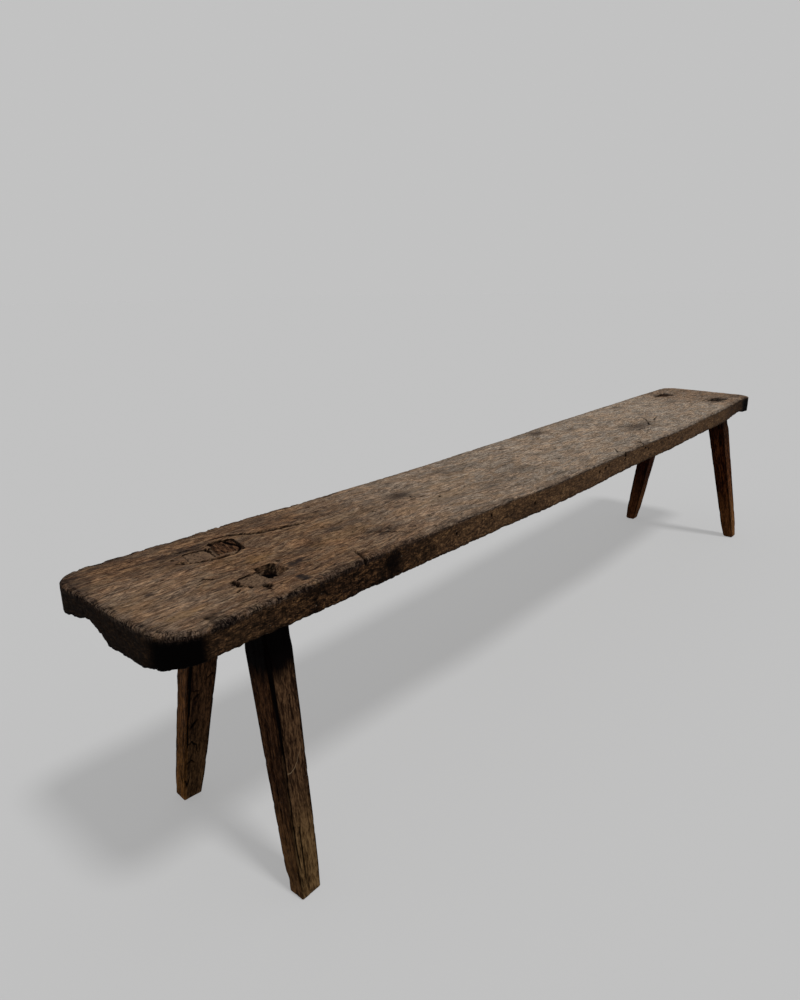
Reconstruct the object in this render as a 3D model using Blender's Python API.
"""Long staked bench of hewn hardwood.

One thick plank stands on four splayed legs. Each leg is let a little way into the underside,
and its tenon runs on up through the seat. A wedge driven in from above locks it there.

Metres, +Z up. +X runs along the seat to its right end, and the front long side faces -Y. The
floor is z = 0, and the origin lies on it under the middle of the bench.
"""
import math

import bmesh
import bpy
from mathutils import Vector

# Overall sizes
SEAT_LENGTH = 2.25
SEAT_WIDTH = 0.31
SEAT_HEIGHT = 0.46
STANCE = 0.37

# Plank: greatest thickness, worn arrises, plan corners, and the slant of the right end
PLANK_THICKNESS = 0.050
TOP_WEAR = 0.009
UNDER_WEAR = 0.005
CORNER_FRONT_LEFT = 0.060
CORNER_BACK_LEFT = 0.048
CORNER_FRONT_RIGHT = 0.042
CORNER_BACK_RIGHT = 0.045
RIGHT_END_SLANT = 0.034
LEFT_LUMP_LENGTH = 0.075

# Adze scallops across the underside
HEWING_PITCH = 0.090
HEWING_DEPTH = 0.0012

# Legs: side of the square section at the seat's top and at the floor
LEG_HEAD = 0.050
LEG_FOOT = 0.032
LEG_ARRIS = 0.004
SOLE_WEAR = 0.002
LEG_RIPPLE = 0.0007
LEG_TURN = math.radians(15)

# Where the legs stand: heads in from the seat's ends and long edges, feet further out
LEG_INSET = 0.190
LEG_SETBACK = 0.069
END_SPLAY = 0.018

# Joints: depth of the housing under the seat, shoulder round the tenon, top set below the seat
HOUSING_DEPTH = 0.004
SHOULDER = 0.0035
TENON_SINK = 0.0015
WEDGE_LENGTH = 0.040
WEDGE_DEPTH = 0.046
WEDGE_TIP = 0.012
WEDGE_ARRIS = 0.007
WEDGE_FOOT_GAP = 0.006

# Space between touching pieces, and how far a cutter runs past the faces it cuts
CLEARANCE = 0.0003
OVERRUN = 0.010

# Steps along curved and hewn stretches
CORNER_STEPS = 7
TOP_WEAR_STEPS = 3
UNDER_WEAR_STEPS = 2
LEG_STEPS = 9

# Distance of each long edge from the middle line: place along half the length, share of half the width
BACK_EDGE_SHARES = (
    (-1.00, 0.94), (-0.90, 0.94), (-0.79, 0.93), (-0.70, 0.925), (-0.58, 0.88), (-0.36, 0.85),
    (-0.05, 0.88), (0.23, 0.955), (0.52, 0.99), (0.80, 1.03), (1.00, 1.04),
)
FRONT_EDGE_SHARES = (
    (-1.00, 1.02), (-0.85, 1.00), (-0.68, 0.96), (-0.43, 0.985), (-0.24, 1.07), (0.12, 1.04),
    (0.34, 1.08), (0.65, 1.02), (0.87, 0.93), (1.00, 0.88),
)

# Thickness along the plank, as a share of the greatest
THICKNESS_SHARES = (
    (-1.00, 0.80), (-0.93, 0.80), (-0.83, 0.875), (-0.76, 0.94), (-0.66, 0.955), (-0.45, 0.96),
    (-0.36, 0.93), (-0.24, 0.88), (-0.08, 0.90), (0.02, 0.87), (0.26, 0.86), (0.38, 0.79),
    (0.50, 0.82), (0.68, 0.88), (0.78, 0.86), (0.86, 0.78), (1.00, 0.88),
)

# Thickness across the left end, where a lump was left at the front and a bite is gone behind it
LEFT_END_SHARES = (
    (-1.00, 0.80), (-0.80, 0.91), (-0.55, 1.00), (-0.07, 1.00), (0.04, 0.765), (0.14, 0.61),
    (0.24, 0.51), (0.38, 0.61), (0.54, 0.74), (0.75, 0.80), (1.00, 0.805),
)

# How each leg departs from the sizes above. End and side say which corner it stands at. Pairs of
# shares are across X and Y, except the turn's, which are at the foot and at the head.
LEG_SHARES = {
    "front_left": dict(
        end=-1, side=-1, inset_share=0.95, setback_share=1.01, stance_share=0.95, splay_share=0.97,
        head_shares=(0.96, 0.98), foot_shares=(1.12, 0.90), turn_shares=(0.0, 0.27),
        tenon_shares=(-0.8, 0.8), wedge_shares=(0.86, 0.88), wedge_shift_share=0.18, sink_share=7.0,
    ),
    "back_left": dict(
        end=-1, side=1, inset_share=0.97, setback_share=1.56, stance_share=0.88, splay_share=0.83,
        head_shares=(1.16, 1.04), foot_shares=(1.07, 0.95), turn_shares=(-0.33, -1.0),
        tenon_shares=(-0.8, 0.8), wedge_shares=(1.05, 1.28), wedge_shift_share=0.25, sink_share=1.0,
    ),
    "front_right": dict(
        end=1, side=-1, inset_share=1.09, setback_share=1.00, stance_share=1.00, splay_share=1.94,
        head_shares=(0.99, 0.98), foot_shares=(0.98, 0.95), turn_shares=(-0.13, -0.20),
        tenon_shares=(-0.5, 0.8), wedge_shares=(1.10, 1.00), wedge_shift_share=0.0, sink_share=6.0,
    ),
    "back_right": dict(
        end=1, side=1, inset_share=1.07, setback_share=0.94, stance_share=1.00, splay_share=0.86,
        head_shares=(1.00, 0.98), foot_shares=(0.96, 0.95), turn_shares=(-0.13, -0.47),
        tenon_shares=(0.0, 0.8), wedge_shares=(0.80, 1.05), wedge_shift_share=0.0, sink_share=2.0,
    ),
}

# Narrowing of a tenon, the most that a chamfer may take of a side, and the rhythm of leg ripples
TENON_TAPER_SHARE = 0.95
CHAMFER_LIMIT_SHARE = 0.5
RIPPLE_STEP_SHARE = 0.37
RIPPLE_CORNER_SHARE = 0.29

# Finishes: colour, roughness
SEAT_FINISH = ((0.118, 0.078, 0.052), 0.62)
LEG_FINISHES = {
    "front_left": ((0.050, 0.029, 0.016), 0.66),
    "back_left": ((0.046, 0.028, 0.017), 0.68),
    "front_right": ((0.030, 0.017, 0.010), 0.66),
    "back_right": ((0.024, 0.012, 0.008), 0.68),
}
WEDGE_FINISHES = {
    "front_left": ((0.040, 0.025, 0.016), 0.80),
    "back_left": ((0.095, 0.055, 0.038), 0.76),
    "front_right": ((0.035, 0.024, 0.017), 0.80),
    "back_right": ((0.060, 0.042, 0.030), 0.78),
}


def clear_scene():
    for item in list(bpy.data.objects):
        bpy.data.objects.remove(item, do_unlink=True)


def make_finish(name, finish):
    """Principled material of one colour and roughness."""
    colour, roughness = finish
    material = bpy.data.materials.new(name)
    material.use_nodes = True
    shader = material.node_tree.nodes["Principled BSDF"]
    shader.inputs["Base Color"].default_value = (*colour, 1.0)
    shader.inputs["Roughness"].default_value = roughness
    shader.inputs["Metallic"].default_value = 0.0
    material.diffuse_color = (*colour, 1.0)
    return material


def add_object(name, bm, material=None):
    """Object from a finished bmesh, with its faces turned outwards."""
    bmesh.ops.recalc_face_normals(bm, faces=bm.faces)
    if bm.calc_volume(signed=True) < 0:
        bmesh.ops.reverse_faces(bm, faces=bm.faces)
    mesh = bpy.data.meshes.new(name)
    bm.to_mesh(mesh)
    bm.free()
    piece = bpy.data.objects.new(name, mesh)
    bpy.context.scene.collection.objects.link(piece)
    if material:
        mesh.materials.append(material)
    return piece


def eased(shares, place):
    """Value of a table of shares at a place, with an eased step from each entry to the next."""
    if place <= shares[0][0]:
        return shares[0][1]
    for (start, low), (end, high) in zip(shares, shares[1:]):
        if place <= end:
            along = (place - start) / (end - start)
            return low + (high - low) * along * along * (3 - 2 * along)
    return shares[-1][1]


def along_share(x):
    return x / (SEAT_LENGTH / 2)


def plank_thickness(x, y):
    """Thickness of the plank over a point of the plan, with its scallops and its left end."""
    body = eased(THICKNESS_SHARES, along_share(x))
    past_lump = (x + SEAT_LENGTH / 2) / LEFT_LUMP_LENGTH
    if past_lump < 1:
        end = eased(LEFT_END_SHARES, y / (SEAT_WIDTH / 2))
        hold = max(0.0, past_lump)
        body = end + (body - end) * hold * hold * (3 - 2 * hold)
    scallop = HEWING_DEPTH * (1 + math.cos(2 * math.pi * x / HEWING_PITCH + y / SEAT_WIDTH)) / 2
    return body * PLANK_THICKNESS - scallop


def cut_across(bm, place, normal):
    """Add an edge loop where a plane crosses the whole mesh."""
    everything = bm.verts[:] + bm.edges[:] + bm.faces[:]
    bmesh.ops.bisect_plane(bm, geom=everything, plane_co=place, plane_no=normal)


def bevel_edges(bm, edges, width, steps):
    bmesh.ops.bevel(bm, geom=edges, offset=width, segments=steps, profile=0.5, affect="EDGES",
                    clamp_overlap=True, material=-1)


def level_edges(bm, height):
    """Edges that lie flat at one height."""
    near = UNDER_WEAR / CORNER_STEPS
    return [e for e in bm.edges if all(abs(v.co.z - height) < near for v in e.verts)]


def blank_plank():
    """Straight board with rounded plan corners, a slanted right end and worn arrises."""
    bm = bmesh.new()
    bmesh.ops.create_cube(bm, size=1.0)
    bmesh.ops.scale(bm, vec=(SEAT_LENGTH, SEAT_WIDTH, PLANK_THICKNESS), verts=bm.verts)
    bmesh.ops.translate(bm, vec=(0, 0, SEAT_HEIGHT - PLANK_THICKNESS / 2), verts=bm.verts)
    front_right = [v for v in bm.verts if v.co.x > 0 and v.co.y < 0]
    bmesh.ops.translate(bm, vec=(-RIGHT_END_SLANT, 0, 0), verts=front_right)

    radii = {
        (-1, -1): CORNER_FRONT_LEFT, (-1, 1): CORNER_BACK_LEFT,
        (1, -1): CORNER_FRONT_RIGHT, (1, 1): CORNER_BACK_RIGHT,
    }
    for (end, side), radius in radii.items():
        upright = [e for e in bm.edges
                   if all(v.co.x * end > 0 and v.co.y * side > 0 for v in e.verts)
                   and abs(e.verts[0].co.z - e.verts[1].co.z) > PLANK_THICKNESS / 2]
        corner = max(upright, key=lambda e: e.verts[0].co.x * end + e.verts[0].co.y * side)
        bevel_edges(bm, [corner], radius, CORNER_STEPS)

    bevel_edges(bm, level_edges(bm, SEAT_HEIGHT), TOP_WEAR, TOP_WEAR_STEPS)
    bevel_edges(bm, level_edges(bm, SEAT_HEIGHT - PLANK_THICKNESS), UNDER_WEAR, UNDER_WEAR_STEPS)
    return bm


def fit_length(bm):
    """Stretch the plank so that it measures the seat's length over its rounded corners."""
    low = min(v.co.x for v in bm.verts)
    high = max(v.co.x for v in bm.verts)
    bmesh.ops.translate(bm, vec=(-(low + high) / 2, 0, 0), verts=bm.verts)
    bmesh.ops.scale(bm, vec=(SEAT_LENGTH / (high - low), 1, 1), verts=bm.verts)


def hew_plank(bm):
    """Give the straight board its wandering edges and its uneven underside."""
    count = round(SEAT_LENGTH / (HEWING_PITCH / 2))
    for step in range(1, count):
        cut_across(bm, (SEAT_LENGTH * (step / count - 1 / 2), 0, 0), (1, 0, 0))
    for place, _ in LEFT_END_SHARES[1:-1]:
        cut_across(bm, (0, place * SEAT_WIDTH / 2, 0), (0, 1, 0))
    for vert in bm.verts:
        x, y, z = vert.co
        below = (SEAT_HEIGHT - z) / PLANK_THICKNESS
        vert.co.z = SEAT_HEIGHT - below * plank_thickness(x, y)
        vert.co.y = y * eased(BACK_EDGE_SHARES if y > 0 else FRONT_EDGE_SHARES, along_share(x))


def chamfered(width, depth, chamfer):
    """Rectangle with its corners cut off, as eight points round the origin."""
    a, b = width / 2, depth / 2
    c = min(chamfer, a * CHAMFER_LIMIT_SHARE, b * CHAMFER_LIMIT_SHARE)
    right = [(a, c - b), (a, b - c), (a - c, b)]
    left = [(c - a, b), (-a, b - c), (-a, c - b)]
    front = [(c - a, -b), (a - c, -b)]
    return [Vector(corner) for corner in right + left + front]


def moved(points, x, y):
    return [Vector((p.x + x, p.y + y)) for p in points]


def turned(points, angle):
    c, s = math.cos(angle), math.sin(angle)
    return [Vector((c * p.x - s * p.y, s * p.x + c * p.y)) for p in points]


def loft(rings):
    """Closed solid whose sides join matching points of each ring and the next, with both ends filled."""
    bm = bmesh.new()
    loops = [[bm.verts.new(point) for point in ring] for ring in rings]
    for low, high in zip(loops, loops[1:]):
        for step, corner in enumerate(low):
            bm.faces.new((low[step - 1], corner, high[step], high[step - 1]))
    bm.faces.new(loops[0])
    bm.faces.new(loops[-1])
    return bm


class Stake:
    """One leg with its tenon and wedge, worked out from the shared sizes and its own shares."""

    def __init__(self, name, shares):
        self.name = name
        self.shares = shares
        head_x = SEAT_LENGTH / 2 - LEG_INSET * shares["inset_share"]
        foot_x = head_x + END_SPLAY * shares["splay_share"]
        head_y = SEAT_WIDTH / 2 - LEG_SETBACK * shares["setback_share"]
        self.head = Vector((head_x * shares["end"], head_y * shares["side"], SEAT_HEIGHT))
        self.underside = SEAT_HEIGHT - plank_thickness(self.head.x, self.head.y)
        reach = max(point.y for point in self.body_outline(0, 0))
        foot_y = STANCE / 2 * shares["stance_share"] - reach
        self.foot = Vector((foot_x * shares["end"], foot_y * shares["side"], 0))
        self.shoulder = self.underside + HOUSING_DEPTH
        self.tenon_end = SEAT_HEIGHT - TENON_SINK
        self.wedge_top = SEAT_HEIGHT - TENON_SINK * shares["sink_share"]
        self.wedge_foot = self.shoulder + WEDGE_FOOT_GAP

    def centre(self, z):
        """Middle of the leg at a height; past either end it runs on in line."""
        return self.foot + (self.head - self.foot) * (z / SEAT_HEIGHT)

    def turn(self, z):
        """Turn of the leg about its length, which stays the same all through the joint."""
        foot_turn, head_turn = self.shares["turn_shares"]
        return LEG_TURN * (foot_turn + (head_turn - foot_turn) * min(z, self.underside) / SEAT_HEIGHT)

    def body_size(self, z):
        """Width and depth of the leg below its shoulder."""
        foot = [LEG_FOOT * share for share in self.shares["foot_shares"]]
        head = [LEG_HEAD * share for share in self.shares["head_shares"]]
        return [low + (high - low) * z / SEAT_HEIGHT for low, high in zip(foot, head)]

    def body_outline(self, z, grow):
        width, depth = self.body_size(z)
        return turned(chamfered(width + 2 * grow, depth + 2 * grow, LEG_ARRIS), self.turn(z))

    def tenon_size(self, z):
        """Width and depth of the tenon, which narrows from its shoulder to its end."""
        climb = (z - self.shoulder) / (SEAT_HEIGHT - self.shoulder)
        taper = 1 - (1 - TENON_TAPER_SHARE) * climb
        return [(side - 2 * SHOULDER) * taper for side in self.body_size(self.shoulder)]

    def tenon_shift(self):
        """How far the tenon stands off the middle of its leg."""
        return [SHOULDER * share for share in self.shares["tenon_shares"]]

    def body_ring(self, z, grow=0):
        return self.placed(self.body_outline(z, grow), z)

    def tenon_ring(self, z, grow=0):
        width, depth = self.tenon_size(z)
        outline = chamfered(width + 2 * grow, depth + 2 * grow, LEG_ARRIS)
        return self.placed(turned(moved(outline, *self.tenon_shift()), self.turn(z)), z)

    def wedge_ring(self, z, grow=0, size_at=None):
        """Section of the wedge, which lies against the tenon's right face and thickens upwards."""
        level = z if size_at is None else size_at
        long_share, deep_share = self.shares["wedge_shares"]
        climb = (level - self.shoulder) / (SEAT_HEIGHT - self.shoulder)
        thickness = WEDGE_TIP + (WEDGE_LENGTH * long_share - WEDGE_TIP) * climb
        depth = WEDGE_DEPTH * deep_share
        shift_x, shift_y = self.tenon_shift()
        over_x = shift_x + self.tenon_size(level)[0] / 2 + CLEARANCE + thickness / 2
        over_y = shift_y + depth * self.shares["wedge_shift_share"]
        outline = chamfered(thickness + 2 * grow, depth + 2 * grow, WEDGE_ARRIS)
        return self.placed(turned(moved(outline, over_x, over_y), self.turn(z)), z)

    def placed(self, outline, z):
        middle = self.centre(z)
        return [Vector((middle.x + point.x, middle.y + point.y, z)) for point in outline]

    def rippled(self, z, step):
        """Body ring whose corners stand in by uneven amounts, as a drawknife leaves them."""
        middle = self.centre(z)
        ring = []
        for corner, point in enumerate(self.body_ring(z)):
            wave = step * RIPPLE_STEP_SHARE + corner * RIPPLE_CORNER_SHARE + self.shares["inset_share"]
            cut = LEG_RIPPLE * (1 + math.sin(2 * math.pi * wave)) / 2
            ring.append(point + (middle - point).normalized() * cut)
        return ring

    def leg(self):
        """Leg from its worn sole up through the shoulder to the end of the tenon."""
        rings = [self.body_ring(0, -SOLE_WEAR)]
        for step in range(LEG_STEPS):
            height = SOLE_WEAR + (self.shoulder - HOUSING_DEPTH - SOLE_WEAR) * step / (LEG_STEPS - 1)
            rings.append(self.rippled(height, step))
        rings.append(self.body_ring(self.shoulder))
        rings.append(self.tenon_ring(self.shoulder))
        rings.append(self.tenon_ring(self.tenon_end - TENON_SINK))
        rings.append(self.tenon_ring(self.tenon_end, -TENON_SINK))
        return loft(rings)

    def leg_cutter(self):
        """Housing for the shoulder and the mortise for the tenon, with room all round."""
        housing_end = self.shoulder + CLEARANCE
        return loft([
            self.body_ring(self.underside - OVERRUN, CLEARANCE),
            self.body_ring(housing_end, CLEARANCE),
            self.tenon_ring(housing_end, CLEARANCE),
            self.tenon_ring(SEAT_HEIGHT + OVERRUN, CLEARANCE),
        ])

    def wedge(self):
        return loft([
            self.wedge_ring(self.wedge_foot),
            self.wedge_ring(self.wedge_top - TENON_SINK),
            self.wedge_ring(self.wedge_top, -TENON_SINK),
        ])

    def wedge_cutter(self):
        """Slot beside the tenon, which opens through both faces of the plank."""
        return loft([
            self.wedge_ring(self.underside - OVERRUN, CLEARANCE, self.shoulder),
            self.wedge_ring(self.shoulder, CLEARANCE),
            self.wedge_ring(SEAT_HEIGHT, CLEARANCE),
            self.wedge_ring(SEAT_HEIGHT + OVERRUN, CLEARANCE, SEAT_HEIGHT),
        ])


def cut_away(piece, name, cutter_mesh):
    """Cut a hidden solid out of a piece."""
    cutter = add_object(name, cutter_mesh)
    cutter.hide_render = True
    cutter.display_type = "WIRE"
    cut = piece.modifiers.new(name, "BOOLEAN")
    cut.operation = "DIFFERENCE"
    cut.solver = "EXACT"
    cut.object = cutter


def make_seat(stakes):
    bm = blank_plank()
    hew_plank(bm)
    fit_length(bm)
    seat = add_object("seat_plank", bm, make_finish("seat_wood", SEAT_FINISH))
    for stake in stakes:
        cut_away(seat, f"cut_mortise_{stake.name}", stake.leg_cutter())
        cut_away(seat, f"cut_wedge_slot_{stake.name}", stake.wedge_cutter())
    return seat


def main():
    clear_scene()
    bench = bpy.data.objects.new("bench", None)
    bpy.context.scene.collection.objects.link(bench)
    stakes = [Stake(name, shares) for name, shares in LEG_SHARES.items()]
    pieces = [make_seat(stakes)]
    for stake in stakes:
        leg_finish = make_finish(f"leg_wood_{stake.name}", LEG_FINISHES[stake.name])
        wedge_finish = make_finish(f"wedge_wood_{stake.name}", WEDGE_FINISHES[stake.name])
        pieces.append(add_object(f"leg_{stake.name}", stake.leg(), leg_finish))
        pieces.append(add_object(f"wedge_{stake.name}", stake.wedge(), wedge_finish))
    for piece in pieces:
        piece.parent = bench


main()
